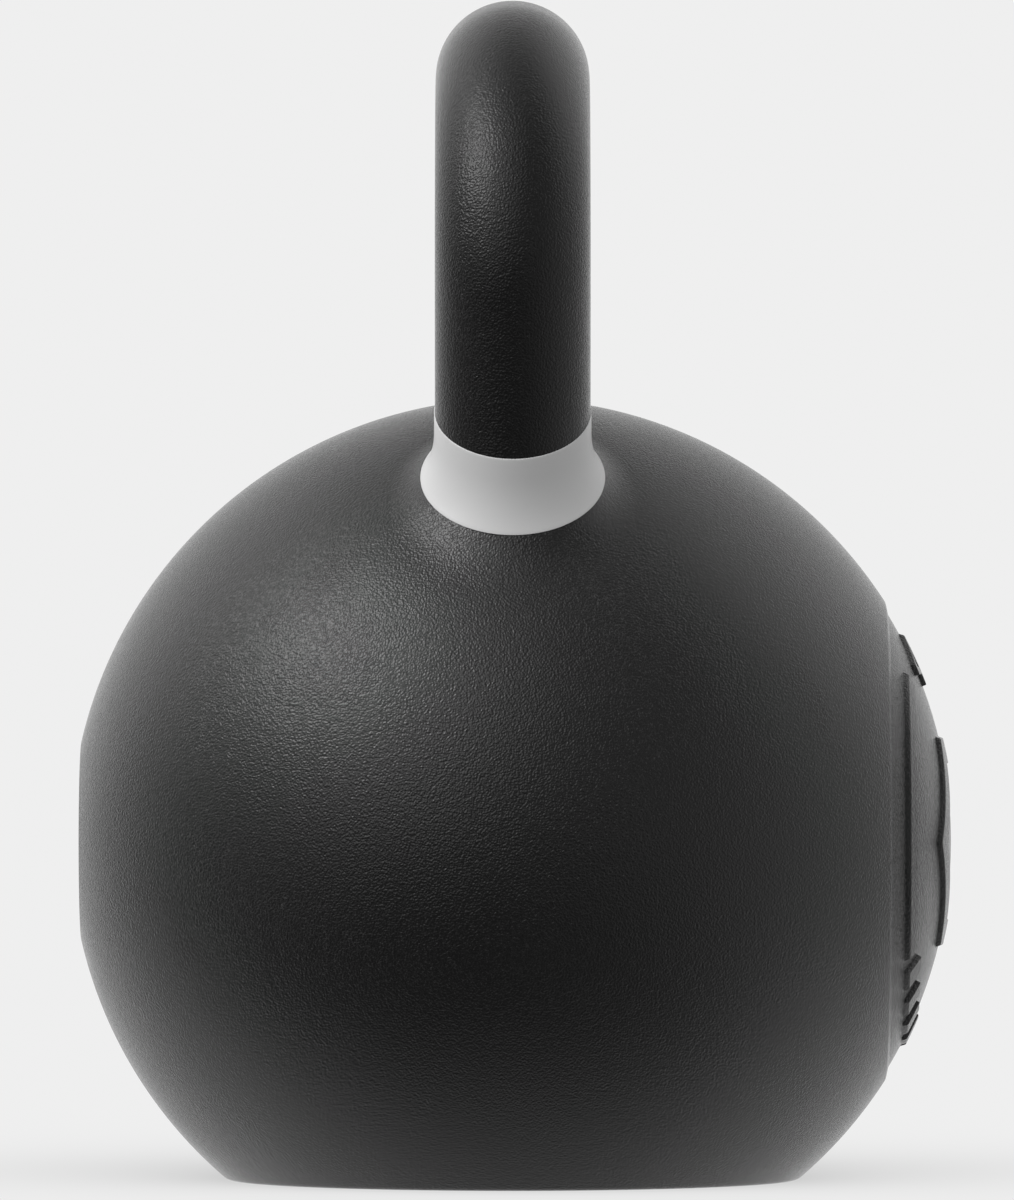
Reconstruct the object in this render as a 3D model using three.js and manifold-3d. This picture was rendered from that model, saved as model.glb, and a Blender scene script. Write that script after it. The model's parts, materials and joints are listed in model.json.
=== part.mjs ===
// A 40 kg cast iron kettlebell.
//
// A black round ball stands on a machined flat. A thick round handle rises from two feet on
// top of the ball, and a pale colour band wraps the root of each leg. The front of the ball
// carries a shallow round roundel with raised marks, and the back has a small flat.
//
// Millimetres. +Z is up, the origin is the centre of the flat base. The handle spans X, the
// roundel faces -Y and the back flat faces +Y.

import * as THREE from 'three';
import { LoftGeometry } from 'three/addons/geometries/LoftGeometry.js';
import { mergeVertices } from 'three/addons/utils/BufferGeometryUtils.js';
import Module from 'manifold-3d';

const { degToRad, lerp } = THREE.MathUtils;

// ---------------------------------------------------------------- driving dimensions

const BALL_RADIUS = 110;
const BALL_CENTRE_Z = 84.1;
const BASE_EDGE_RADIUS = 3.5;
const BACK_FLAT_Y = 107.2;

const BAR_RADIUS = 19;
const BAR_TOP_Z = 292.8;
const CROWN_RADIUS = 235; // the grip arches slightly along its length
const CORNER_RADIUS = 46;
const LEG_REACH = 72; // from the middle of the handle to a leg's axis, at the widest
const LEG_LEAN = degToRad( 8.5 ); // the legs lean outwards on their way up
const LEG_LENGTH = 60; // of the straight part, before its foot end is cut

const FOOT_TILT = degToRad( 36.9 ); // of a foot's axis, from vertical
const SEAT_DISTANCE = 110.5; // from the ball's centre to the seat of a band
const SEAT_RADIUS = 22.6;
const TOE_RADIUS = 32; // where a foot's fillet runs out into the ball
const TOE_SHARPNESS = 1.7;

const BAND_TOP_TILT = degToRad( 34 );
const BAND_TOP_HEIGHT = 106.3; // of a band's upper edge above the ball's centre, on the leg's axis
const BAND_PROUD = 0.25;

const ROOT_RADIUS = 15; // the leg's root, inside its band
const ROOT_DEPTH = 14; // how far the root goes down into its foot

const ROUNDEL_RIM_RADIUS = 59.4;
const ROUNDEL_RADIUS = 56.4;
const ROUNDEL_RECESS = 1.05;
const ROUNDEL_BACK = 88; // from the ball's centre to the roundel's flat back

const GAP = 0.3; // between neighbouring pieces

const BAR_CENTRE_Z = BAR_TOP_Z - BAR_RADIUS;
const DOME_RADIUS = BALL_RADIUS - ROUNDEL_RECESS;

// ---------------------------------------------------------------- finishes

const coatedIron = { color: 0x17181a, roughness: 0.62, metalness: 0.1 };
const bandPaint = { color: 0xc9cbcd, roughness: 0.45, metalness: 0 };

// ---------------------------------------------------------------- solids and booleans

const wasm = await Module();
wasm.setup();

/** A closed three.js geometry as a solid that can be joined and cut. */
function toSolid( geometry ) {

	const bare = new THREE.BufferGeometry();
	bare.setAttribute( 'position', geometry.attributes.position );
	bare.setIndex( geometry.index );
	const merged = mergeVertices( bare, 1e-3 );
	const vertProperties = new Float32Array( merged.attributes.position.array );
	const triVerts = new Uint32Array( merged.index.array );
	return new wasm.Manifold( new wasm.Mesh( { numProp: 3, vertProperties, triVerts } ) );

}

function toMesh( name, solid, finish ) {

	const { vertProperties, triVerts } = solid.getMesh();
	const geometry = new THREE.BufferGeometry();
	geometry.setAttribute( 'position', new THREE.BufferAttribute( vertProperties, 3 ) );
	geometry.setIndex( new THREE.BufferAttribute( triVerts, 1 ) );
	geometry.computeVertexNormals();
	const mesh = new THREE.Mesh( geometry, new THREE.MeshStandardMaterial( finish ) );
	mesh.name = name;
	return mesh;

}

// ---------------------------------------------------------------- profiles and turning

function at( x, y ) {

	return new THREE.Vector2( x, y );

}

/** Points along a circle's arc, with its angles measured from the profile's first axis. */
function arc( centre, radius, from, to, steps ) {

	return Array.from( { length: steps + 1 }, ( _, i ) => {

		const angle = lerp( from, to, i / steps );
		return at( centre.x + radius * Math.cos( angle ), centre.y + radius * Math.sin( angle ) );

	} );

}

/** Turn a profile of ( radius, height ) points about +Z. */
function turned( profile, segments ) {

	return new THREE.LatheGeometry( profile, segments ).rotateX( Math.PI / 2 );

}

/** Turn a profile of ( radius, reach ) points about the ball's front axis, which is -Y. */
function turnedToFront( profile, segments ) {

	return turned( profile, segments ).rotateX( Math.PI / 2 ).translate( 0, 0, BALL_CENTRE_Z );

}

/** Half the height of a sphere's cap: how far along the axis the sphere has a given radius. */
function sphereReach( sphereRadius, radius ) {

	return Math.sqrt( sphereRadius ** 2 - radius ** 2 );

}

// ---------------------------------------------------------------- the handle's centre line

/** An arched grip, two corners and two leaning legs, all in the XZ plane. */
class HandleLine extends THREE.Curve {

	constructor() {

		super();
		const bend = CROWN_RADIUS - CORNER_RADIUS;
		this.crownAngle = Math.asin( ( LEG_REACH - CORNER_RADIUS ) / bend );
		this.crownLength = CROWN_RADIUS * this.crownAngle;
		this.crownZ = BAR_CENTRE_Z - CROWN_RADIUS;
		this.cornerLength = CORNER_RADIUS * ( Math.PI / 2 + LEG_LEAN - this.crownAngle );
		this.cornerX = LEG_REACH - CORNER_RADIUS;
		this.cornerZ = this.crownZ + bend * Math.cos( this.crownAngle );

	}

	/** The point at a distance along the line from the middle of the grip. */
	pointAt( distance ) {

		const side = distance < 0 ? - 1 : 1;
		const along = Math.abs( distance );
		if ( along < this.crownLength ) {

			const angle = along / CROWN_RADIUS;
			const x = CROWN_RADIUS * Math.sin( angle );
			return new THREE.Vector3( side * x, 0, this.crownZ + CROWN_RADIUS * Math.cos( angle ) );

		}

		const round = Math.min( along - this.crownLength, this.cornerLength );
		const straight = along - this.crownLength - round;
		const angle = this.crownAngle + round / CORNER_RADIUS;
		const x = this.cornerX + CORNER_RADIUS * Math.sin( angle ) - straight * Math.sin( LEG_LEAN );
		const z = this.cornerZ + CORNER_RADIUS * Math.cos( angle ) - straight * Math.cos( LEG_LEAN );
		return new THREE.Vector3( side * x, 0, z );

	}

	getPoint( t, target = new THREE.Vector3() ) {

		const half = this.crownLength + this.cornerLength + LEG_LENGTH;
		return target.copy( this.pointAt( ( 2 * t - 1 ) * half ) );

	}

}

const handleLine = new HandleLine();

/** Where a leg's axis passes a height above the ball's centre. `side` is +1 or -1 along X. */
function legAxisAt( height, side ) {

	const end = handleLine.pointAt( handleLine.crownLength + handleLine.cornerLength );
	const z = BALL_CENTRE_Z + height;
	return new THREE.Vector3( side * ( end.x - ( end.z - z ) * Math.tan( LEG_LEAN ) ), 0, z );

}

/** Put geometry that was made about +Z, from the ball's centre, on an axis tilted to one side. */
function tiltedOut( geometry, tilt, side ) {

	return geometry.rotateY( side * tilt ).translate( 0, 0, BALL_CENTRE_Z );

}

/** The round root of a leg, from inside its foot up into the thick part of the leg. */
function legRoot( side, radius, depth ) {

	const rise = 30;
	const root = turned( [ at( 0, - depth ), at( radius, - depth ), at( radius, rise ), at( 0, rise ) ], 28 );
	const seat = legAxisAt( SEAT_DISTANCE * Math.cos( FOOT_TILT ), side );
	return toSolid( root.rotateY( side * LEG_LEAN ).translate( seat.x, 0, seat.z ) );

}

// ---------------------------------------------------------------- ball

/** Half outline of the ball: the flat base, its rounded edge and the round body. */
function ballOutline() {

	const inner = BALL_RADIUS - BASE_EDGE_RADIUS;
	const drop = BALL_CENTRE_Z - BASE_EDGE_RADIUS;
	const join = - Math.asin( drop / inner );
	const edge = at( sphereReach( inner, drop ), BASE_EDGE_RADIUS );
	const body = arc( at( 0, BALL_CENTRE_Z ), BALL_RADIUS, join, Math.PI / 2, 27 ).slice( 1, - 1 );
	return [
		at( 0, 0 ),
		...arc( edge, BASE_EDGE_RADIUS, - Math.PI / 2, join, 3 ),
		...body,
		at( 0, BALL_CENTRE_Z + BALL_RADIUS ),
	];

}

/** The foot that carries a leg: a hollow-sided fillet from the ball up to the band's seat. */
function foot( side ) {

	const toe = sphereReach( BALL_RADIUS, TOE_RADIUS );
	const buried = toe - 10;
	const steps = 6;
	const fillet = Array.from( { length: steps + 1 }, ( _, i ) => {

		const t = i / steps;
		const spread = ( TOE_RADIUS - SEAT_RADIUS ) * ( 1 - t ) ** TOE_SHARPNESS;
		return at( SEAT_RADIUS + spread, lerp( toe, SEAT_DISTANCE, t ) );

	} );
	const outline = [ at( 0, buried ), at( TOE_RADIUS - 2, buried ), ...fillet, at( 0, SEAT_DISTANCE ) ];
	return toSolid( tiltedOut( turned( outline, 36 ), FOOT_TILT, side ) );

}

/** The recess in the front of the ball: a sloping rim, a straight wall and a flat floor. */
function roundelRecess() {

	const rimReach = sphereReach( BALL_RADIUS, ROUNDEL_RIM_RADIUS );
	const wall = ROUNDEL_RADIUS + GAP;
	const wallReach = sphereReach( DOME_RADIUS, wall );
	const slope = ( rimReach - wallReach ) / ( ROUNDEL_RIM_RADIUS - wall );
	const overrun = 3;
	const clear = BALL_RADIUS + 10;
	return toSolid( turnedToFront( [
		at( 0, ROUNDEL_BACK ),
		at( wall, ROUNDEL_BACK ),
		at( wall, wallReach ),
		at( ROUNDEL_RIM_RADIUS + overrun, rimReach + slope * overrun ),
		at( ROUNDEL_RIM_RADIUS + overrun, clear ),
		at( 0, clear ),
	], 48 ) );

}

function makeBall() {

	const depth = 20;
	const behind = new THREE.BoxGeometry( 100, depth, 100 );
	behind.translate( 0, BACK_FLAT_Y + depth / 2, BALL_CENTRE_Z );
	let solid = toSolid( turned( ballOutline(), 60 ) );
	for ( const side of [ - 1, 1 ] ) {

		solid = solid.add( foot( side ) ).subtract( legRoot( side, ROOT_RADIUS + GAP, ROOT_DEPTH + GAP ) );

	}

	solid = solid.subtract( toSolid( behind ) ).subtract( roundelRecess() );
	return toMesh( 'ball', solid, coatedIron );

}

// ---------------------------------------------------------------- handle

/** The space below a band's upper edge, where a leg narrows to its root. */
function belowBandTop( side ) {

	const edge = legAxisAt( BAND_TOP_HEIGHT, 1 );
	const reach = edge.x * Math.sin( BAND_TOP_TILT ) + BAND_TOP_HEIGHT * Math.cos( BAND_TOP_TILT ) + GAP;
	const size = 90;
	const block = new THREE.BoxGeometry( size, size, size ).translate( 0, 0, reach - size / 2 );
	return toSolid( tiltedOut( block, BAND_TOP_TILT, side ) );

}

function makeHandle() {

	const section = new THREE.Shape().absarc( 0, 0, BAR_RADIUS, 0, 2 * Math.PI, false );
	let solid = toSolid( new THREE.ExtrudeGeometry( section, {
		extrudePath: handleLine,
		steps: 40,
		curveSegments: 14,
		bevelEnabled: false,
	} ) );
	for ( const side of [ - 1, 1 ] ) {

		solid = solid.subtract( belowBandTop( side ) ).add( legRoot( side, ROOT_RADIUS, ROOT_DEPTH ) );

	}

	return toMesh( 'handle', solid, coatedIron );

}

// ---------------------------------------------------------------- colour bands

/** An ellipse of points on a plane tilted to one side, counterclockwise from above. */
function tiltedRing( centre, tilt, side, across, deep ) {

	const count = 36;
	return Array.from( { length: count }, ( _, i ) => {

		const angle = 2 * Math.PI * i / count;
		const u = across * Math.cos( angle );
		const x = centre.x + u * Math.cos( tilt );
		return new THREE.Vector3( x, deep * Math.sin( angle ), centre.z - side * u * Math.sin( tilt ) );

	} );

}

/** A flared collar, from a circle on its foot's seat to the leg's own section at the top. */
function makeBand( name, side ) {

	const reach = SEAT_DISTANCE + GAP;
	const x = side * reach * Math.sin( FOOT_TILT );
	const low = new THREE.Vector3( x, 0, BALL_CENTRE_Z + reach * Math.cos( FOOT_TILT ) );
	const high = legAxisAt( BAND_TOP_HEIGHT, side );
	const deep = BAR_RADIUS + BAND_PROUD;
	const across = deep / Math.cos( BAND_TOP_TILT - LEG_LEAN );
	const steps = 6;
	const rings = Array.from( { length: steps + 1 }, ( _, i ) => {

		const t = i / steps;
		const flare = ( 1 - t ) ** 2;
		const tilt = lerp( FOOT_TILT, BAND_TOP_TILT, t );
		const centre = low.clone().lerp( high, t );
		const width = lerp( across, SEAT_RADIUS, flare );
		return tiltedRing( centre, tilt, side, width, lerp( deep, SEAT_RADIUS, flare ) );

	} );
	const collar = toSolid( new LoftGeometry( rings, { capStart: true, capEnd: true } ) );
	return toMesh( name, collar.subtract( legRoot( side, ROOT_RADIUS + GAP, ROOT_DEPTH ) ), bandPaint );

}

// ---------------------------------------------------------------- roundel

/** A curved bar: the part of a flat ring between two angles. */
function ringPart( inner, outer, from, to ) {

	const shape = new THREE.Shape();
	shape.absarc( 0, 0, outer, from, to, false );
	shape.absarc( 0, 0, inner, to, from, true );
	return shape;

}

/** A regular hexagon with a smaller one cut out of its middle. */
function hexagonOutline( outer, inner ) {

	const corners = ( radius ) => arc( at( 0, 0 ), radius, 0, 2 * Math.PI, 6 ).slice( 0, - 1 );
	const shape = new THREE.Shape( corners( outer ) );
	shape.holes.push( new THREE.Path( corners( inner ).reverse() ) );
	return shape;

}

function box( left, bottom, width, height ) {

	return new THREE.Shape( [
		at( left, bottom ),
		at( left + width, bottom ),
		at( left + width, bottom + height ),
		at( left, bottom + height ),
	] );

}

/** The plain marks on the roundel: side arcs, the weight in kilograms, bars and a hexagon. */
function roundelMarks() {

	const sideArcs = [ ringPart( 47, 51, - 0.6, 0.97 ), ringPart( 47, 51, Math.PI - 0.97, Math.PI + 0.6 ) ];
	const lowerBars = [ - 48, - 36, - 24, - 12, 0, 12, 24, 36, 48 ].map( ( angle ) => {

		const middle = degToRad( angle - 90 );
		return ringPart( 44, 51, middle - 0.06, middle + 0.06 );

	} );
	const four = new THREE.Shape( [
		at( - 7, 39 ), at( - 4, 39 ), at( - 4, 51 ), at( - 7, 51 ),
		at( - 15, 44.5 ), at( - 15, 41.8 ), at( - 7, 41.8 ),
	] );
	const nought = box( 2, 39, 11, 12 );
	nought.holes.push( new THREE.Path( box( 5, 42, 5, 6 ).getPoints().reverse() ) );
	return [ ...sideArcs, ...lowerBars, four, nought, hexagonOutline( 30, 22 ) ];

}

function makeRoundel() {

	const segments = 48;
	const dome = ( radius, edge, back ) => [
		at( 0, back ),
		at( edge, back ),
		...arc( at( 0, 0 ), radius, Math.acos( edge / radius ), Math.PI / 2, 6 ).slice( 0, - 1 ),
		at( 0, radius ),
	];
	const back = ROUNDEL_BACK + GAP;
	const limit = toSolid( turnedToFront( dome( BALL_RADIUS, ROUNDEL_RADIUS, back ), segments ) );
	let solid = toSolid( turnedToFront( dome( DOME_RADIUS, ROUNDEL_RADIUS, back ), segments ) );
	for ( const shape of roundelMarks() ) {

		const prism = new THREE.ExtrudeGeometry( shape, { depth: 24, curveSegments: 5, bevelEnabled: false } );
		prism.rotateX( Math.PI / 2 ).translate( 0, - back - 1, BALL_CENTRE_Z );
		solid = solid.add( toSolid( prism ).intersect( limit ) );

	}

	return toMesh( 'front_roundel', solid, coatedIron );

}

// ---------------------------------------------------------------- assembly

const group = new THREE.Group();
group.add( makeBall() );
group.add( makeHandle() );
group.add( makeRoundel() );
group.add( makeBand( 'left_colour_band', - 1 ) );
group.add( makeBand( 'right_colour_band', 1 ) );

export default group;
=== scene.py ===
# %% [markdown]
# # A 40 kg cast iron kettlebell
#
# The real thing is one pour of grey iron: a ball on a machined flat, two feet that flow out of the
# ball, and a thick arched grip between them. All of it wears a black powder coat with a fine
# leathery grain, and a band of smooth pale paint wraps the root of each leg.
#
# A cast shape like this has two kinds of surface. The ball and the grip are plain: a sphere, and a
# round bar carried along a line. The feet are not. Where a leg meets the ball, the pattern maker
# fills the corner with a soft fillet. This lesson makes those blends with a distance field, which is
# a formula for how far any point is from the iron.

import json
import math

import bmesh
import bpy
import numpy as np
from mathutils import Matrix, Vector
from mathutils.geometry import delaunay_2d_cdt


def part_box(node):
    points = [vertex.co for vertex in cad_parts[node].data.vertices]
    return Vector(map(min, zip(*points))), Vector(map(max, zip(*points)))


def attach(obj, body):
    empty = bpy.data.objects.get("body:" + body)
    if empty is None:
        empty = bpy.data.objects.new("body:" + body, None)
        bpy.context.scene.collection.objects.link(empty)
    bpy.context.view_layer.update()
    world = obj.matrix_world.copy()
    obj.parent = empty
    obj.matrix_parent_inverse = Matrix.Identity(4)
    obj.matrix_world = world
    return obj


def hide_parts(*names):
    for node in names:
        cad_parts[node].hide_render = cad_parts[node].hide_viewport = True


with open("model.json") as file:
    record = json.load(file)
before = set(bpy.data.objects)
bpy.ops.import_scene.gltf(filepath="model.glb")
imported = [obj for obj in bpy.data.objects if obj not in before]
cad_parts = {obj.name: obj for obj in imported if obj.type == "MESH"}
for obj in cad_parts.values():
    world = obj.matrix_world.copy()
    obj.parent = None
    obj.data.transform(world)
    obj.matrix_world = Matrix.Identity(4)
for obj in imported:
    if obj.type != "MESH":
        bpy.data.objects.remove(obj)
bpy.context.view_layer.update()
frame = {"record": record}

# %% [markdown]
# ## Sizes
#
# Every size comes from the frame where the frame can say it: the back flat's mount gives the height
# of the ball's centre, and the nodes' boxes give the ball, the bar and the reach of the legs. The
# rest are the pattern maker's radii, in millimetres turned to metres by MM.

# %% Sizes from the frame
MM = 0.001
mounts = {mount["name"]: mount for mount in frame["record"]["mounts"]}
BACK_FLAT_Y, CENTRE_Z = mounts["back_flat"]["pos_m"][1:]
BALL_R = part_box("ball")[1].z - CENTRE_Z
handle_low, handle_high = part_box("handle")
BAR_R = (handle_high.y - handle_low.y) / 2
LEG_REACH = handle_high.x - BAR_R
ROUNDEL_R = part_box("front_roundel")[1].x
CENTRE = np.array([0.0, 0.0, CENTRE_Z])
print(f"ball {2000 * BALL_R:.1f} mm across, bar {2000 * BAR_R:.1f} mm thick")

# %% The pattern maker's radii
BASE_EDGE_R = 3.5 * MM
CROWN_R = 235 * MM
CORNER_R = 46 * MM
LEG_LEAN = math.radians(8.5)
FILLET = 12 * MM

# The bands: the middles of both masked edges, how they tilt, and how proud the paint stands.
BAND_LOW = 110.5 * MM
FOOT_TILT = math.radians(36.9)
BAND_LOW_TILT = math.radians(35)
BAND_TOP = 105.9 * MM
BAND_TOP_TILT = math.radians(34)
BAND_PROUD = 0.2 * MM

RECESS = 1.05 * MM
RECESS_RIM_R = ROUNDEL_R + 3 * MM

# %% [markdown]
# ## Camera
#
# The kettlebell is seen level and from far away, along the line of its grip, so the near leg hides
# the far one and the roundel shows edge-on. A long lens from 3.5 m does that. The eye is 144 mm
# above the floor, which is why a little of the base's front edge shows.

# %% Camera
EYE_DISTANCE = 3.48
EYE_HEIGHT = 144 * MM
EYE_OFFSET = 1.4 * MM
VIEW_HEIGHT = 298.4 * MM


def make_camera():
    """Lens length over sensor height equals the distance over VIEW_HEIGHT, the height in view there."""
    camera = bpy.data.objects.new("camera", bpy.data.cameras.new("camera"))
    bpy.context.scene.collection.objects.link(camera)
    camera.location = (-EYE_DISTANCE, EYE_OFFSET, EYE_HEIGHT)
    camera.rotation_euler = (math.pi / 2, 0, -math.pi / 2)
    camera.data.sensor_fit = "VERTICAL"
    camera.data.lens = camera.data.sensor_height * EYE_DISTANCE / VIEW_HEIGHT
    bpy.context.scene.camera = camera
    return camera


camera = make_camera()
print(f"lens {camera.data.lens:.0f} mm")

# %% [markdown]
# ## Node helpers
#
# A material is a small graph. These two helpers keep the graphs short: one adds a node and sets its
# inputs by name, the other starts a node group whose inputs and outputs are listed in one place.

# %% Node helpers
def add_node(tree, kind, settings=(), **inputs):
    """Add a node, set its own settings, then set each input socket or link it if a socket is given."""
    node = tree.nodes.new(kind)
    for key, value in dict(settings).items():
        setattr(node, key, value)
    for key, value in inputs.items():
        socket = node.inputs[key.replace("_", " ")]
        if isinstance(value, bpy.types.NodeSocket):
            tree.links.new(value, socket)
        else:
            socket.default_value = value
    return node


def new_group(name, inputs, outputs):
    """A shader node group with named sockets. Returns its tree, its input node and its output node."""
    tree = bpy.data.node_groups.new(name, "ShaderNodeTree")
    for label, kind, value in inputs:
        socket = tree.interface.new_socket(label, in_out="INPUT", socket_type=kind)
        if value is not None:
            socket.default_value = value
    for label, kind in outputs:
        tree.interface.new_socket(label, in_out="OUTPUT", socket_type=kind)
    return tree, tree.nodes.new("NodeGroupInput"), tree.nodes.new("NodeGroupOutput")


def math_node(tree, operation, a, b=0.0, clamp=False):
    """One step of arithmetic. Returns its output socket."""
    node = tree.nodes.new("ShaderNodeMath")
    node.operation = operation
    node.use_clamp = clamp
    for socket, value in zip(node.inputs, (a, b)):
        if isinstance(value, bpy.types.NodeSocket):
            tree.links.new(value, socket)
        else:
            socket.default_value = value
    return node.outputs[0]


# %% [markdown]
# ## Powder coat
#
# Powder coat is baked on as dry powder. It melts, creeps and freezes into a skin like fine leather:
# low soft ridges about half a millimetre apart, with slow changes in how smooth it came out. The
# grain is height, so it goes through a Bump node. It could be real geometry, but that would take
# millions of faces. Noise in Object coordinates keeps its size in real millimetres on every piece,
# with no seams.

# %% Leathery grain
RIDGE_STIR = 0.35
CLOUDS_PER_METRE, CLOUD_DETAIL, CLOUD_ROUGHNESS = 35.0, 3.0, 0.55


def make_grain_group():
    """Height: noise at the given size, a little distorted, times the depth.
    Cloud: slow noise, for the change in gloss and colour from place to place."""
    tree, given, out = new_group(
        "Leathery grain",
        [
            ("Vector", "NodeSocketVector", None),
            ("Size", "NodeSocketFloat", 1.0 * MM),
            ("Depth", "NodeSocketFloat", 0.03 * MM),
        ],
        [("Height", "NodeSocketFloat"), ("Cloud", "NodeSocketFloat")],
    )
    scale = math_node(tree, "DIVIDE", 1.0, given.outputs["Size"])
    ridges = add_node(
        tree, "ShaderNodeTexNoise", Vector=given.outputs["Vector"], Scale=scale,
        Detail=0.0, Distortion=RIDGE_STIR,
    )
    cloud = add_node(
        tree, "ShaderNodeTexNoise", Vector=given.outputs["Vector"],
        Scale=CLOUDS_PER_METRE, Detail=CLOUD_DETAIL, Roughness=CLOUD_ROUGHNESS,
    )
    height = math_node(tree, "MULTIPLY", ridges.outputs["Fac"], given.outputs["Depth"])
    tree.links.new(height, out.inputs["Height"])
    tree.links.new(cloud.outputs["Fac"], out.inputs["Cloud"])
    return tree


grain_group = make_grain_group()

# %% [markdown]
# ## Finishes
#
# Three finishes share the grain group. The grip's coat is the ball's coat with a weaker mirror. That
# is painted shade: it keeps the middle of the thin round bar as dark as the real one stays in this
# light. The band's paint is smoother, so its grain is wide and shallow. The colours are greys in
# linear light.

# %% Coated iron and band paint
CLOUD_LOW, CLOUD_HIGH = 0.3, 0.7
GLOSS_DRIFT = 0.02


def grey(level):
    """The same level of red, green and blue, with no transparency."""
    return level, level, level, 1


def finish_material(name, dark, pale, roughness, grain_size, grain_depth, specular):
    """A coat with a grain. Grey and roughness drift a little with the group's cloud: grey from dark
    to pale, roughness by GLOSS_DRIFT either way."""
    material = bpy.data.materials.new(name)
    material.use_nodes = True
    tree = material.node_tree
    surface = tree.nodes["Principled BSDF"]
    place = add_node(tree, "ShaderNodeTexCoord")
    grain = add_node(tree, "ShaderNodeGroup", {"node_tree": grain_group})
    tree.links.new(place.outputs["Object"], grain.inputs["Vector"])
    grain.inputs["Size"].default_value = grain_size
    grain.inputs["Depth"].default_value = grain_depth
    bump = add_node(tree, "ShaderNodeBump", Height=grain.outputs["Height"], Strength=1.0, Distance=1.0)
    rough = add_node(
        tree, "ShaderNodeMapRange", Value=grain.outputs["Cloud"],
        From_Min=CLOUD_LOW, From_Max=CLOUD_HIGH,
        To_Min=roughness - GLOSS_DRIFT, To_Max=roughness + GLOSS_DRIFT,
    )
    tint = add_node(tree, "ShaderNodeMix", {"data_type": "RGBA"})
    tree.links.new(grain.outputs["Cloud"], tint.inputs["Factor"])
    tint.inputs[6].default_value = grey(dark)
    tint.inputs[7].default_value = grey(pale)
    tree.links.new(tint.outputs[2], surface.inputs["Base Color"])
    tree.links.new(rough.outputs["Result"], surface.inputs["Roughness"])
    tree.links.new(bump.outputs["Normal"], surface.inputs["Normal"])
    surface.inputs["Specular IOR Level"].default_value = specular
    return material


COAT = {
    "dark": 0.0055, "pale": 0.0065, "roughness": 0.24,
    "grain_size": 0.5 * MM, "grain_depth": 0.18 * MM,
}
coated_iron = finish_material("Coated iron", **COAT, specular=0.5)
# The handle's copy of the coat has a weaker mirror, so it looks darker: painted shade.
shaded_handle_iron = finish_material("Gripped iron", **COAT, specular=0.36)
band_paint = finish_material(
    "Band paint", dark=0.63, pale=0.65, roughness=0.4,
    grain_size=1.2 * MM, grain_depth=0.008 * MM, specular=0.5,
)
print("materials:", coated_iron.name, shaded_handle_iron.name, band_paint.name)

# %% [markdown]
# ## From points to a mesh
#
# Most pieces here are a grid of points: rows along the piece, columns round it. `grid_faces` joins
# neighbours into quads. A grid whose ends are open gets a fan to one point at each end, and a grid
# that wraps both ways needs none.
#
# Extruding an edge gives its new points in an order that changes from run to run. `settle_order`
# numbers every point by its place, so that the same shape is always the same mesh.

# %% Grid to mesh
def grid_faces(rows, columns, wrap_rows=False):
    """Quads between neighbouring rows and columns. Columns always wrap round."""
    index = np.arange(rows * columns).reshape(rows, columns)
    if wrap_rows:
        index = np.vstack([index, index[:1]])
    low, high = index[:-1], index[1:]
    quads = np.stack([low, np.roll(low, -1, 1), np.roll(high, -1, 1), high], -1)
    return quads.reshape(-1, 4)


def end_fans(rows, columns):
    """Triangles from the first row to the point after the grid, and from the last row to the next."""
    first = np.arange(columns)
    last = first + (rows - 1) * columns
    low_point, high_point = rows * columns, rows * columns + 1
    low = np.stack([np.full(columns, low_point), np.roll(first, -1), first], -1)
    high = np.stack([np.full(columns, high_point), last, np.roll(last, -1)], -1)
    return np.vstack([low, high])


def make_mesh(name, points, faces):
    """A mesh from an array of points, of any shape that ends in three, and a list of faces."""
    mesh = bpy.data.meshes.new(name)
    mesh.from_pydata(np.asarray(points).reshape(-1, 3).tolist(), [], faces)
    mesh.update()
    return mesh


def settle_order(mesh):
    """Number points by z, then y, then x, and sort the faces. A triangle or quad keeps its first
    corner, because that decides which way a quad is split. A larger, flat face starts at its lowest."""
    places = np.empty(3 * len(mesh.vertices), np.float32)
    mesh.vertices.foreach_get("co", places)
    places = places.reshape(-1, 3)
    order = np.lexsort(places.T)
    number = np.empty_like(order)
    number[order] = np.arange(len(order))
    corners = np.empty(len(mesh.loops), np.int32)
    mesh.loops.foreach_get("vertex_index", corners)
    corners = number[corners].tolist()
    faces = []
    for polygon in mesh.polygons:
        face = corners[polygon.loop_start:polygon.loop_start + polygon.loop_total]
        first = face.index(min(face)) if len(face) > 4 else 0
        faces.append(face[first:] + face[:first])
    mesh.clear_geometry()
    mesh.from_pydata(places[order].tolist(), [], sorted(faces))
    mesh.update()


def finish_piece(name, mesh, material, sharp_angle=50):
    """Turn the faces outwards, shade them smoothly except at sharp edges, and put the piece in place."""
    shell = bmesh.new()
    shell.from_mesh(mesh)
    bmesh.ops.recalc_face_normals(shell, faces=shell.faces)
    open_edges = sum(edge.is_boundary for edge in shell.edges)
    volume = shell.calc_volume()
    shell.to_mesh(mesh)
    shell.free()
    settle_order(mesh)
    mesh.shade_smooth()
    mesh.set_sharp_from_angle(angle=math.radians(sharp_angle))
    mesh.materials.append(material)
    piece = bpy.data.objects.new(name, mesh)
    bpy.context.scene.collection.objects.link(piece)
    print(f"{name}: {len(mesh.polygons)} faces, {1e6 * volume:.1f} cm3, {open_edges} open edges")
    return piece


# %% [markdown]
# ## The handle's line
#
# The grip isn't quite straight. It arches on a 235 mm radius, turns down round a 46 mm corner, and
# the legs lean in towards the ball on their way down. One function gives the point for any distance
# along the line, and the turn of the line there.

# %% The handle's line
LEG_LENGTH = 44 * MM
CROWN_TURN = math.asin((LEG_REACH - CORNER_R) / (CROWN_R - CORNER_R))
CROWN_LENGTH = CROWN_R * CROWN_TURN
CORNER_LENGTH = CORNER_R * (math.pi / 2 + LEG_LEAN - CROWN_TURN)
CROWN_Z = handle_high.z - BAR_R - CROWN_R


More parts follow.
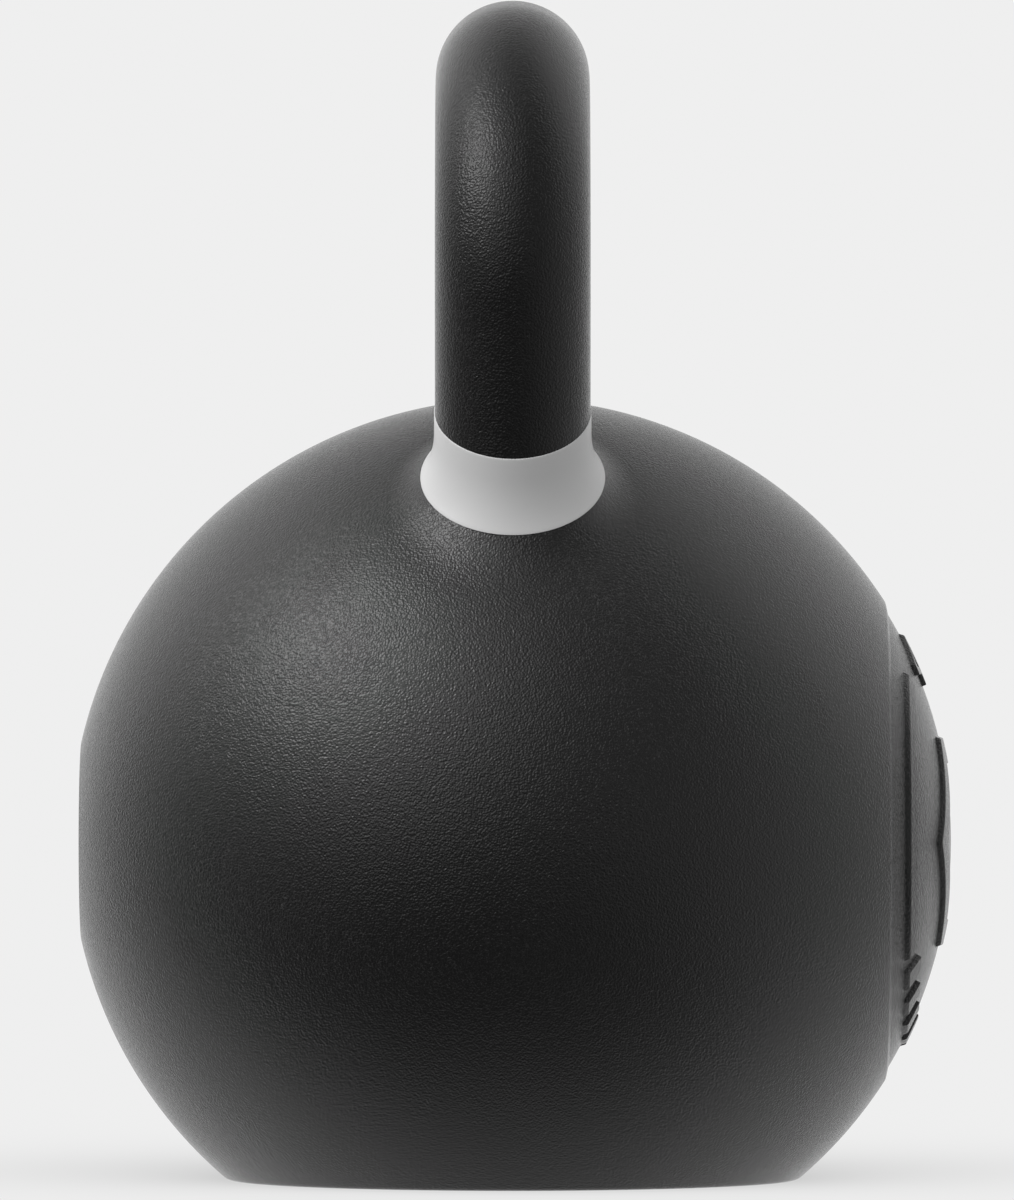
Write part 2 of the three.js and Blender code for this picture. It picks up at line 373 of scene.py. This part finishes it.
def handle_line(distance):
    """Centre line at a signed distance from the middle of the grip.

    The arch turns the line by distance / CROWN_R, then the corner turns it by distance / CORNER_R,
    then it runs straight down the leaning leg. Returns points and the turn from level."""
    run = np.abs(distance)
    crown = np.minimum(run, CROWN_LENGTH) / CROWN_R
    corner = np.clip(run - CROWN_LENGTH, 0, CORNER_LENGTH) / CORNER_R
    straight = np.maximum(run - CROWN_LENGTH - CORNER_LENGTH, 0)
    turn = crown + corner
    bend = CROWN_R - CORNER_R
    x = bend * np.sin(crown) + CORNER_R * np.sin(turn) - straight * math.sin(LEG_LEAN)
    z = CROWN_Z + bend * np.cos(crown) + CORNER_R * np.cos(turn) - straight * math.cos(LEG_LEAN)
    side = np.where(distance < 0, -1.0, 1.0)
    return np.stack([side * x, np.zeros_like(x), z], -1), side * turn


leg_end, _ = handle_line(np.array([CROWN_LENGTH + CORNER_LENGTH]))
LEG_POINT = leg_end[0]
LEG_AXIS = np.array([math.sin(LEG_LEAN), 0, math.cos(LEG_LEAN)])
print(f"handle {2000 * (LEG_REACH + BAR_R):.0f} mm wide, leg line ends at {np.round(1000 * LEG_POINT, 1)}")

# %% [markdown]
# ## The iron as a distance field
#
# The ball's distance is a point's distance from the centre less the ball's radius. A leg's is the
# distance from its axis less the bar's radius. The smaller of the two is their plain union, with a
# sharp corner. The smooth minimum takes a little more off where the two are nearly equal, and that
# fills the corner with a fillet FILLET wide.

# %% Distance field
def ball_distance(points):
    """Distance from the ball's centre, less the ball's radius."""
    return np.linalg.norm(points - CENTRE, axis=-1) - BALL_R


def leg_distance(points):
    """Distance from the nearer leg's axis, less the bar's radius. The legs mirror each other in x."""
    folded = np.concatenate([np.abs(points[..., :1]), points[..., 1:]], -1) - LEG_POINT
    along = folded @ LEG_AXIS
    return np.linalg.norm(folded - along[..., None] * LEG_AXIS, axis=-1) - BAR_R


def iron_distance(points):
    """Smooth minimum: the smaller distance, less a quarter of FILLET times closeness squared.
    Closeness is 1 where the two are equal and 0 where they differ by FILLET or more."""
    ball, leg = ball_distance(points), leg_distance(points)
    closeness = np.clip(1 - np.abs(ball - leg) / FILLET, 0, 1)
    return np.minimum(ball, leg) - FILLET * closeness**2 / 4


HALVINGS = 32


def surface_along(start, direction, near, far, offset=0.0):
    """How far along each ray the iron's distance reaches offset: halve the range again and again."""
    near, far = np.full(direction.shape[:-1], near), np.full(direction.shape[:-1], far)
    for _ in range(HALVINGS):
        middle = (near + far) / 2
        inside = iron_distance(start + middle[..., None] * direction) < offset
        near, far = np.where(inside, middle, near), np.where(inside, far, middle)
    return far


# %% [markdown]
# ## Ball
#
# The ball is turned like a pot, from the middle of the base up: the flat, a small round edge, then
# the body. Every point of the body is pushed out along its own ray until it meets the fillets of
# the feet. Under the bands the push stops, because the iron there is the leg's.
#
# The roundel's recess and the back flat lie square to Y, across the grid. So the shell is cut with a
# plane there, and the cut's round edge is carried through a few rings: over the rim, down the slope
# and in to the middle. That gives crisp edges that no grid of points could follow.

# %% Ball shell
COLUMNS = 420
BODY_ROWS = 205
UNDER_BAND = 3.6 * MM


def ball_shell():
    """Rings from the base's middle to the top: radius and height along the outline, then turned."""
    inner = BALL_R - BASE_EDGE_R
    drop = CENTRE_Z - BASE_EDGE_R
    edge_x = math.sqrt(inner**2 - drop**2)
    join = math.asin(drop / inner)
    around = np.linspace(0, 2 * np.pi, COLUMNS, endpoint=False)
    spokes = np.stack([np.cos(around), np.sin(around), np.zeros(COLUMNS)], -1)
    up = np.array([0.0, 0.0, 1.0])

    edge = np.linspace(-np.pi / 2, -join, 8)
    radius = np.concatenate([edge_x * np.array([0.3, 0.7, 0.97]), edge_x + BASE_EDGE_R * np.cos(edge)])
    height = np.concatenate([np.zeros(3), BASE_EDGE_R * (1 + np.sin(edge))])
    base = radius[:, None, None] * spokes + height[:, None, None] * up

    rise = np.linspace(-join, np.pi / 2, BODY_ROWS + 1)[1:-1]
    ray = np.cos(rise)[:, None, None] * spokes + np.sin(rise)[:, None, None] * up
    reach = surface_along(CENTRE, ray, BALL_R - MM, BALL_R + UNDER_BAND)
    body = CENTRE + reach[..., None] * ray

    grid = np.concatenate([base, body])
    ends = np.array([[0, 0, 0], [0, 0, CENTRE_Z + BALL_R]])
    rows = len(grid)
    faces = grid_faces(rows, COLUMNS).tolist() + end_fans(rows, COLUMNS).tolist()
    return make_mesh("ball_skin", np.vstack([grid.reshape(-1, 3), ends]), faces)


def carry_edge(shell, edges, rings):
    """Extrude an open round edge through (radius, y) rings about the ball's Y axis, then close it."""
    radius, y = rings[0]
    centre = Matrix.Translation((0, 0, -CENTRE_Z))
    for next_radius, next_y in rings[1:]:
        grown = bmesh.ops.extrude_edge_only(shell, edges=edges)["geom"]
        verts = [item for item in grown if isinstance(item, bmesh.types.BMVert)]
        edges = [item for item in grown if isinstance(item, bmesh.types.BMEdge) and item.is_boundary]
        ratio = next_radius / radius
        bmesh.ops.scale(shell, vec=(ratio, 1, ratio), space=centre, verts=verts)
        bmesh.ops.translate(shell, vec=(0, next_y - y, 0), verts=verts)
        radius, y = next_radius, next_y
    bmesh.ops.contextual_create(shell, geom=edges)


def cut_and_carry(shell, rings):
    """Cut the shell square to Y at the first ring, drop what lies beyond, and carry the edge on."""
    y = rings[0][1]
    everything = shell.verts[:] + shell.edges[:] + shell.faces[:]
    bmesh.ops.bisect_plane(
        shell, geom=everything, plane_co=(0, y, 0), plane_no=(0, math.copysign(1, y), 0), clear_outer=True,
    )
    carry_edge(shell, [edge for edge in shell.edges if edge.is_boundary], rings)


def on_sphere(radius, sphere=None):
    """How far out along the axis a sphere has this radius."""
    return math.sqrt((sphere or BALL_R) ** 2 - radius**2)


# %% [markdown]
# ## Recess and back flat
#
# A cast edge is never sharp: the coat rounds it over a fraction of a millimetre. So each cut starts a
# little outside the true edge and takes a few rings to turn the corner.

# %% Recess, back flat and the finished ball
BEHIND_ROUNDEL = 1 * MM


def recess_rings():
    """Over the rounded rim, down the slope to the roundel, then in behind it."""
    rim, foot = RECESS_RIM_R, ROUNDEL_R
    rim_y, foot_y = on_sphere(rim), on_sphere(foot, BALL_R - RECESS)
    slope = (foot_y - rim_y) / (rim - foot)
    soft = 0.5 * MM
    rings = [
        (rim + soft, on_sphere(rim + soft)),
        (rim + 0.35 * soft, on_sphere(rim + 0.35 * soft) - 0.012 * MM),
        (rim - 0.1 * soft, rim_y - 0.03 * MM),
        (rim - soft, rim_y + soft * slope),
        (rim - 2 * soft, rim_y + 2 * soft * slope),
        (foot + soft, foot_y - soft * slope),
        (foot, foot_y),
        (foot - 2 * soft, foot_y - BEHIND_ROUNDEL),
        (foot / 3, foot_y - BEHIND_ROUNDEL),
    ]
    return [(radius, -y) for radius, y in rings]


def back_flat_rings():
    """Over the flat's rounded edge, then level in towards its middle."""
    edge = math.sqrt(BALL_R**2 - BACK_FLAT_Y**2)
    soft = 0.6 * MM
    return [
        (edge + soft, on_sphere(edge + soft)),
        (edge + 0.3 * soft, BACK_FLAT_Y - 0.03 * MM),
        (edge - 0.3 * soft, BACK_FLAT_Y - 0.008 * MM),
        (edge - soft, BACK_FLAT_Y),
        (edge - 2 * soft, BACK_FLAT_Y),
        (edge / 3, BACK_FLAT_Y),
    ]


def make_ball():
    """The turned shell with both cuts made in it."""
    mesh = ball_shell()
    shell = bmesh.new()
    shell.from_mesh(mesh)
    cut_and_carry(shell, recess_rings())
    cut_and_carry(shell, back_flat_rings())
    shell.to_mesh(mesh)
    shell.free()
    return finish_piece("ball_skin", mesh, coated_iron)


ball = make_ball()

# %% [markdown]
# ## Handle
#
# A 38 mm round bar carried along the handle's line. Rings of points stand square to the line: the
# line only turns in the XZ plane, so one direction of each ring is Y and the other is the line's own
# outward normal. The ends run down inside the feet, where the bands hide them.

# %% Handle bar
HANDLE_ROWS = 300
HANDLE_COLUMNS = 144


def make_handle():
    """Ring points: line point + radius x (cosine x outward normal + sine x Y)."""
    half = CROWN_LENGTH + CORNER_LENGTH + LEG_LENGTH
    line, turn = handle_line(np.linspace(-half, half, HANDLE_ROWS))
    normal = np.stack([np.sin(turn), np.zeros_like(turn), np.cos(turn)], -1)
    around = np.linspace(0, 2 * np.pi, HANDLE_COLUMNS, endpoint=False)
    across = np.array([0.0, 1.0, 0.0])
    ring = np.cos(around)[:, None] * normal[:, None] + np.sin(around)[:, None] * across
    grid = line[:, None] + BAR_R * ring
    size = HANDLE_ROWS, HANDLE_COLUMNS
    faces = grid_faces(*size).tolist() + end_fans(*size).tolist()
    mesh = make_mesh("handle_bar", np.vstack([grid.reshape(-1, 3), line[[0, -1]]]), faces)
    # The handle wears the darker copy of the coat: painted shade.
    return finish_piece("handle_bar", mesh, shaded_handle_iron)


handle = make_handle()

# %% [markdown]
# ## Colour bands
#
# On the real kettlebell each band is a coat of pale paint between two masked edges, so it follows
# the iron exactly, foot fillet and all, and stands a fifth of a millimetre proud. The band is a
# stack of tilted rings. Each ring point walks outwards from the leg's middle until the distance
# field says it is the right height above the iron. The ring planes turn slowly from the lower masked
# edge's tilt to the upper one's.

# %% Band
BAND_COLUMNS = 240
BAND_LENGTH = 17 * MM
BAND_LIP = 0.2 * MM
BAND_BURIED = 1.2 * MM
MIDDLE_ROWS = 24
RAY_START, RAY_END = 10 * MM, 30 * MM


def band_profile():
    """Rows up the band as (share of the way up, height above the iron).
    The paint rolls over at both edges, and the last rows run back down inside the iron."""
    roll = np.linspace(0, np.pi / 2, 5)
    lip = BAND_LIP / BAND_LENGTH
    proud = BAND_PROUD * np.sin(roll)
    edge = lip * (1 - np.cos(roll))
    middle = np.linspace(lip, 1 - lip, MIDDLE_ROWS + 2)[1:-1]
    share = np.concatenate([edge, middle, 1 - edge[::-1], [1.0, 0.5, 0.0]])
    height = np.concatenate([proud, np.full(MIDDLE_ROWS, BAND_PROUD), proud[::-1], [-BAND_BURIED] * 3])
    return share, height


def make_band(name, side):
    """Ring centre: along the line between the middles of the two masked edges, by the row's share.
    Ring ray: cosine x the ring plane's outward direction + sine x Y. Side is -1 or 1 and mirrors x."""
    share, height = band_profile()
    low = CENTRE + BAND_LOW * np.array([math.sin(FOOT_TILT), 0, math.cos(FOOT_TILT)])
    fall = (LEG_POINT[2] - CENTRE_Z - BAND_TOP) / math.cos(LEG_LEAN)
    high = LEG_POINT - fall * LEG_AXIS
    centre = low + share[:, None] * (high - low)
    tilt = BAND_LOW_TILT + share * (BAND_TOP_TILT - BAND_LOW_TILT)
    around = np.linspace(0, 2 * np.pi, BAND_COLUMNS, endpoint=False)
    outward = np.stack([np.cos(tilt), np.zeros_like(tilt), -np.sin(tilt)], -1)
    across = np.array([0.0, 1.0, 0.0])
    ray = np.cos(around)[:, None] * outward[:, None] + np.sin(around)[:, None] * across
    reach = surface_along(centre[:, None], ray, RAY_START, RAY_END, height[:, None])
    grid = centre[:, None] + reach[..., None] * ray
    grid[..., 0] *= side
    faces = grid_faces(len(share), BAND_COLUMNS, wrap_rows=True).tolist()
    return finish_piece(name, make_mesh(name, grid, faces), band_paint)


left_band = make_band("left_paint_band", -1)
right_band = make_band("right_paint_band", 1)

# %% [markdown]
# ## Roundel
#
# The roundel is a shallow dish with raised marks, all cast with the ball. The tops of the marks lie
# flush with the ball's own curve. Here the marks are plain ones: arcs at the sides, the weight at
# the top, bars at the bottom and a hexagon in the middle.
#
# A mark with crisp walls needs mesh edges that run along its outline. So each outline is drawn as a
# flat polygon and repeated at a few small insets, which become the foot of the wall, its top and
# the flat beyond. A constrained triangulation fills the disc between all those loops, and the
# height of each point follows from how deep it lies inside a mark.

# %% Flat outlines of the marks
MARK_OUTER = 51
SIDE_ARC_INNER, SIDE_ARC_MIDDLE, SIDE_ARC_HALF = 47, 0.185, 0.785
BAR_INNER, BAR_HALF, BAR_STEP, BAR_LAST = 44, 0.06, 12, 48
HEXAGON_OUTER, HEXAGON_INNER = 30, 22


def arc_points(radius, start, end, step=0.02):
    """Radius times (cosine, sine) of evenly spaced angles, about step apart."""
    angle = np.linspace(start, end, max(2, int(abs(end - start) / step)))
    return radius * np.stack([np.cos(angle), np.sin(angle)], -1)


def ring_part(inner, outer, middle, half):
    """A bent bar: out along the outer arc and back along the inner one."""
    there = arc_points(outer, middle - half, middle + half)
    return np.vstack([there, arc_points(inner, middle + half, middle - half)])


def hexagon(radius):
    """Radius times (cosine, sine) of six angles a sixth of a turn apart."""
    corner = np.arange(6) * np.pi / 3
    return radius * np.stack([np.cos(corner), np.sin(corner)], -1)


def round_box(x, y, width, height, corner):
    """A box round (x, y) with rounded corners, counterclockwise."""
    arcs = []
    for turn, sx, sy in ((0, 1, 1), (1, -1, 1), (2, -1, -1), (3, 1, -1)):
        at = np.array([x + sx * (width / 2 - corner), y + sy * (height / 2 - corner)])
        arcs.append(at + arc_points(corner, turn * np.pi / 2, (turn + 1) * np.pi / 2, 0.2))
    return np.vstack(arcs)


def mark_outlines():
    """Every outline, drawn in millimetres from the roundel's middle and given back in metres.
    Iron lies to the left of each: marks run counterclockwise, holes clockwise."""
    arcs = [
        ring_part(SIDE_ARC_INNER, MARK_OUTER, middle, SIDE_ARC_HALF)
        for middle in (SIDE_ARC_MIDDLE, np.pi - SIDE_ARC_MIDDLE)
    ]
    bars = [
        ring_part(BAR_INNER, MARK_OUTER, np.radians(angle - 90), BAR_HALF)
        for angle in range(-BAR_LAST, BAR_LAST + 1, BAR_STEP)
    ]
    six_sides = [hexagon(HEXAGON_OUTER), hexagon(HEXAGON_INNER)[::-1]]
    nought = [round_box(8, 45, 11, 13, 4.5), round_box(8, 45, 5, 7, 2.2)[::-1]]
    stroke = [(-7, 38.5), (-4, 38.5), (-4, 51.5), (-7.4, 51.5), (-15, 43.9), (-15, 41.2), (-7, 41.2)]
    eye = [(-7, 43.7), (-11, 43.7), (-7, 47.8)]
    four = [np.array(stroke), np.array(eye)[::-1]]
    return [MM * np.asarray(loop, float) for loop in arcs + bars + six_sides + nought + four]


# %% [markdown]
# ## Walls round the marks
#
# Each wall is five copies of its outline: outside the foot, the foot, near the top, the top's soft
# edge, and the flat beyond. The height at each copy is a share of the recess, so a point's depth
# inside a mark is all that is needed to lift it.

# %% Insets, depth and height
def inset(loop, depth):
    """Move every corner to its left by depth, squarely to both of its edges."""
    edge = np.roll(loop, -1, 0) - loop
    edge /= np.linalg.norm(edge, axis=1)[:, None]
    left = np.stack([-edge[:, 1], edge[:, 0]], -1)
    before = np.roll(left, 1, 0)
    share = 1 + (left * before).sum(1)
    return loop + depth * (left + before) / share[:, None]


def resample(loop, spacing):
    """Split each side of a loop into equal steps no longer than spacing."""
    ends = np.roll(loop, -1, 0)
    steps = np.maximum(1, np.ceil(np.linalg.norm(ends - loop, axis=1) / spacing).astype(int))
    side = np.repeat(np.arange(len(loop)), steps)
    step = np.arange(len(side)) - np.repeat(np.cumsum(steps) - steps, steps)
    share = (step / steps[side])[:, None]
    return loop[side] * (1 - share) + ends[side] * share


def depth_inside(points, loops):
    """Signed distance to the nearest outline, positive inside a mark (by counting crossings)."""
    nearest, crossings = np.full(len(points), np.inf), np.zeros(len(points), int)
    for loop in loops:
        a, b = loop[None], np.roll(loop, -1, 0)[None]
        p = points[:, None]
        side = b - a
        share = np.clip(((p - a) * side).sum(-1) / (side**2).sum(-1), 0, 1)
        nearest = np.minimum(nearest, np.linalg.norm(p - a - share[..., None] * side, axis=-1).min(1))
        spans = (a[..., 1] > p[..., 1]) != (b[..., 1] > p[..., 1])
        rise = np.where(side[..., 1] == 0, 1, side[..., 1])
        cross_x = a[..., 0] + (p[..., 1] - a[..., 1]) * side[..., 0] / rise
        crossings += (spans & (p[..., 0] < cross_x)).sum(1)
    return np.where(crossings % 2 == 1, nearest, -nearest)


WALL_INSETS = np.array([-0.35, 0.0, 0.3, 0.5, 0.8]) * MM
WALL_HEIGHTS = np.array([0.0, 0.04, 0.84, 1.0, 1.0])

# %% Roundel face
ROUNDEL_SPACING = 1.1 * MM
ROUNDEL_EDGE = 0.25 * MM
ROUNDEL_SKIRT = 1.5 * MM
FILL_STEPS = 60
RIM_STEP = 0.6 * MM
WALL_SPACING = 0.7 * MM
CLEAR_OF_WALL = 1.1 * MM
WALL_MIDDLE = 0.2 * MM


def fill_points(loops):
    """Rows of points half a step apart, kept where they clear both the rim and every wall."""
    reach = np.arange(-FILL_STEPS, FILL_STEPS + 1) * ROUNDEL_SPACING
    x, z = np.meshgrid(reach, reach * math.sqrt(0.75))
    x[1::2] += ROUNDEL_SPACING / 2
    fill = np.stack([x.ravel(), z.ravel()], -1)
    fill = fill[np.hypot(*fill.T) < ROUNDEL_R - MM]
    return fill[np.abs(depth_inside(fill, loops) - WALL_MIDDLE) > CLEAR_OF_WALL]


def triangulate(closed, fill):
    """Constrained triangulation: every loop in closed keeps its edges. Returns points and faces."""
    edges, start = [], 0
    for loop in closed:
        index = start + np.arange(len(loop))
        edges.append(np.stack([index, np.roll(index, -1)], -1))
        start += len(loop)
    flat = [Vector(point) for point in np.vstack([*closed, fill]).tolist()]
    made = delaunay_2d_cdt(flat, np.vstack(edges).tolist(), [], 0, 1e-7)
    return np.array(made[0]), [list(face) for face in made[2]]


def make_roundel():
    """Triangulate the disc, then lift it: y = -(square root of dome radius squared less distance
    from the middle squared), where the dome radius grows by RECESS on top of the marks."""
    loops = mark_outlines()
    walls = [resample(inset(loop, depth), WALL_SPACING) for loop in loops for depth in WALL_INSETS]
    rims = [
        resample(arc_points(ROUNDEL_R + ROUNDEL_EDGE - step, 0, 2 * np.pi, 0.018)[:-1], MM)
        for step in (0, RIM_STEP)
    ]
    flat, faces = triangulate(rims + walls, fill_points(loops))
    depth = depth_inside(flat, loops)
    sphere = BALL_R - RECESS + RECESS * np.interp(depth, WALL_INSETS, WALL_HEIGHTS)
    y = -np.sqrt(sphere**2 - (flat**2).sum(1))
    points = np.stack([flat[:, 0], y, CENTRE_Z + flat[:, 1]], -1)
    mesh = make_mesh("roundel_face", points, faces)
    shell = bmesh.new()
    shell.from_mesh(mesh)
    edge_r = ROUNDEL_R + ROUNDEL_EDGE
    edge_y = -on_sphere(edge_r, BALL_R - RECESS)
    behind = edge_y + ROUNDEL_SKIRT
    rings = [(edge_r, edge_y), (edge_r - MM, behind), (edge_r / 3, behind)]
    carry_edge(shell, [edge for edge in shell.edges if edge.is_boundary], rings)
    shell.to_mesh(mesh)
    shell.free()
    return finish_piece("roundel_face", mesh, coated_iron, sharp_angle=35)


roundel = make_roundel()

# %% [markdown]
# ## Floor and backdrop
#
# The kettlebell stands on a pale studio sweep that glows as white as the backdrop, so no horizon
# shows. The lamps of this scene would throw the key's shadow to one side, so the soft shade under
# the ball is part of the glow instead. Two falls of e^(-distance) make it: a tight one round the base
# and a wide one whose middle lies behind the ball. Only the camera sees the floor: light passes up
# through it.

# %% Floor
BACKDROP = 0.862
FLOOR_REACH = 3.0
BASE_R = math.sqrt(BALL_R**2 - CENTRE_Z**2)
CONTACT_DEPTH, CONTACT_FALL = 0.14, 18 * MM
SHADE_DEPTH, SHADE_FALL, SHADE_BEHIND = 0.62, 64 * MM, 62 * MM


def falling(tree, place, middle, start, depth, fall):
    """depth x e^(-distance / fall), where distance is measured from a circle of radius start."""
    away = add_node(tree, "ShaderNodeVectorMath", {"operation": "DISTANCE"})
    tree.links.new(place, away.inputs[0])
    away.inputs[1].default_value = middle
    beyond = math_node(tree, "MAXIMUM", math_node(tree, "SUBTRACT", away.outputs["Value"], start), 0.0)
    share = math_node(tree, "EXPONENT", math_node(tree, "DIVIDE", beyond, -fall))
    return math_node(tree, "MULTIPLY", share, depth)


def make_floor():
    """One square face. Glow: backdrop white x (1 - contact shade - wide shade)."""
    corners = [(sx * FLOOR_REACH, sy * FLOOR_REACH, 0) for sx, sy in ((-1, -1), (1, -1), (1, 1), (-1, 1))]
    mesh = make_mesh("floor", corners, [(0, 1, 2, 3)])
    material = bpy.data.materials.new("Studio floor")
    material.use_nodes = True
    tree = material.node_tree
    tree.nodes.clear()
    place = add_node(tree, "ShaderNodeTexCoord").outputs["Object"]
    contact = falling(tree, place, (0, 0, 0), BASE_R, CONTACT_DEPTH, CONTACT_FALL)
    shade = falling(tree, place, (SHADE_BEHIND, 0, 0), 0.0, SHADE_DEPTH, SHADE_FALL)
    left = math_node(tree, "SUBTRACT", 1.0, math_node(tree, "ADD", contact, shade), clamp=True)
    white = math_node(tree, "MULTIPLY", left, BACKDROP)
    glow = add_node(tree, "ShaderNodeEmission", Color=(1, 1, 1, 1), Strength=white)
    out = add_node(tree, "ShaderNodeOutputMaterial")
    tree.links.new(glow.outputs[0], out.inputs["Surface"])
    mesh.materials.append(material)
    floor = bpy.data.objects.new("floor", mesh)
    bpy.context.scene.collection.objects.link(floor)
    for ray in ("diffuse", "glossy", "transmission", "shadow"):
        setattr(floor, "visible_" + ray, False)
    return floor


floor = make_floor()

# %% [markdown]
# ## Light
#
# The kettlebell is lit like a product shot: a bright white backdrop, a big softbox high on the left
# and towards the camera, and little light from the camera's own side, so that the middle of the ball
# stays dark while its rim shines. Area lamps could do it all, but their straight edges can show in
# the coat. So each lamp stand is a soft spot of brightness in the surroundings, and one round softbox
# near the ball gives the main highlight.

# %% Soft panel
PANEL_TIGHTNESS = 6.0


def make_panel_group():
    """Brightness of one panel seen in a direction: strength x e^(tightness x (cosine - 1)), where
    cosine is between that direction and the panel's middle."""
    tree, given, out = new_group(
        "Soft panel",
        [
            ("Direction", "NodeSocketVector", None),
            ("Middle", "NodeSocketVector", None),
            ("Tightness", "NodeSocketFloat", PANEL_TIGHTNESS),
            ("Strength", "NodeSocketFloat", 1.0),
        ],
        [("Brightness", "NodeSocketFloat")],
    )
    cosine = add_node(tree, "ShaderNodeVectorMath", {"operation": "DOT_PRODUCT"})
    tree.links.new(given.outputs["Direction"], cosine.inputs[0])
    tree.links.new(given.outputs["Middle"], cosine.inputs[1])
    short = math_node(tree, "SUBTRACT", cosine.outputs["Value"], 1.0)
    fall = math_node(tree, "EXPONENT", math_node(tree, "MULTIPLY", short, given.outputs["Tightness"]))
    tree.links.new(math_node(tree, "MULTIPLY", fall, given.outputs["Strength"]), out.inputs["Brightness"])
    return tree


def direction_to(azimuth, elevation):
    """Unit vector. Azimuth is from the camera's side, towards the camera's left; both in degrees."""
    turn, rise = math.radians(azimuth), math.radians(elevation)
    return -math.cos(turn) * math.cos(rise), math.sin(turn) * math.cos(rise), math.sin(rise)


# %% Lamp plan
HIGH, LEVEL, LOW = 40, 0, -40
KEY_SIDE, FILL_SIDE = 1.0, 0.9


def panel_plan():
    """Each lamp stand as (name, azimuth, elevation, strength).

    Both sides have the same three stands behind the kettlebell, dimmer on the fill side. One large
    panel stands in front on the key side, two faint ones on the fill side, and one lies below."""
    plan = [
        ("front key", 40, HIGH, 2.0),
        ("front fill", -40, LEVEL, 0.25),
        ("side fill", -80, LEVEL, 0.4),
        ("below", 0, -80, 0.4),
    ]
    for side, turn, level in (("key side", 1, KEY_SIDE), ("fill side", -1, FILL_SIDE)):
        plan += [
            ("high rim, " + side, turn * 120, HIGH, 1.1 * level),
            ("low rim, " + side, turn * 120, LOW, 0.85 * level),
            ("back, " + side, turn * 160, LEVEL, 0.7 * level),
        ]
    return plan


# %% Studio world
def make_world():
    """The panels add up to the light. The camera sees plain backdrop white instead."""
    world = bpy.data.worlds.new("studio")
    bpy.context.scene.world = world
    world.use_nodes = True
    tree = world.node_tree
    tree.nodes.clear()
    place = add_node(tree, "ShaderNodeTexCoord")
    group = make_panel_group()
    total = 0.0
    for label, azimuth, elevation, strength in panel_plan():
        panel = add_node(
            tree, "ShaderNodeGroup", {"node_tree": group, "label": label}, Direction=place.outputs["Generated"],
            Middle=direction_to(azimuth, elevation), Strength=strength,
        )
        total = math_node(tree, "ADD", panel.outputs["Brightness"], total)
    lit = add_node(tree, "ShaderNodeBackground", Color=(1, 1, 1, 1), Strength=total)
    seen = add_node(tree, "ShaderNodeBackground", Color=(1, 1, 1, 1), Strength=BACKDROP)
    path = add_node(tree, "ShaderNodeLightPath")
    choose = add_node(tree, "ShaderNodeMixShader", Fac=path.outputs["Is Camera Ray"])
    tree.links.new(lit.outputs[0], choose.inputs[1])
    tree.links.new(seen.outputs[0], choose.inputs[2])
    out = add_node(tree, "ShaderNodeOutputWorld")
    tree.links.new(choose.outputs[0], out.inputs["Surface"])
    return world


world = make_world()
print("lamp stands:", ", ".join(name for name, *_ in panel_plan()))

# %% Key light
KEY_AZIMUTH, KEY_ELEVATION = 65, 45
KEY_DISTANCE, KEY_WIDTH, KEY_WATTS = 1.0, 0.5, 3.0


def make_key():
    """The key: a round softbox a metre from the ball, high on the left."""
    light = bpy.data.lights.new("key", "AREA")
    light.shape = "DISK"
    light.size = KEY_WIDTH
    light.energy = KEY_WATTS
    key = bpy.data.objects.new("key", light)
    bpy.context.scene.collection.objects.link(key)
    key.location = KEY_DISTANCE * Vector(direction_to(KEY_AZIMUTH, KEY_ELEVATION)) + Vector(CENTRE)
    key.rotation_euler = (Vector(CENTRE) - key.location).to_track_quat("-Z", "Y").to_euler()
    key.visible_camera = False
    return key


key = make_key()
bpy.context.scene.view_settings.view_transform = "Standard"

# %% [markdown]
# ## Hand over to the frame
#
# Nothing on a kettlebell moves, so all pieces ride on the one body. Each hides the plain node that it
# stands for.

# %% Riding and replacing
for piece, node, slot in (
    (ball, "ball", "coated_iron"),
    (handle, "handle", "coated_iron"),
    (roundel, "front_roundel", "coated_iron"),
    (left_band, "left_colour_band", "band_paint"),
    (right_band, "right_colour_band", "band_paint"),
):
    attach(piece, "root")
    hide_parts(node)
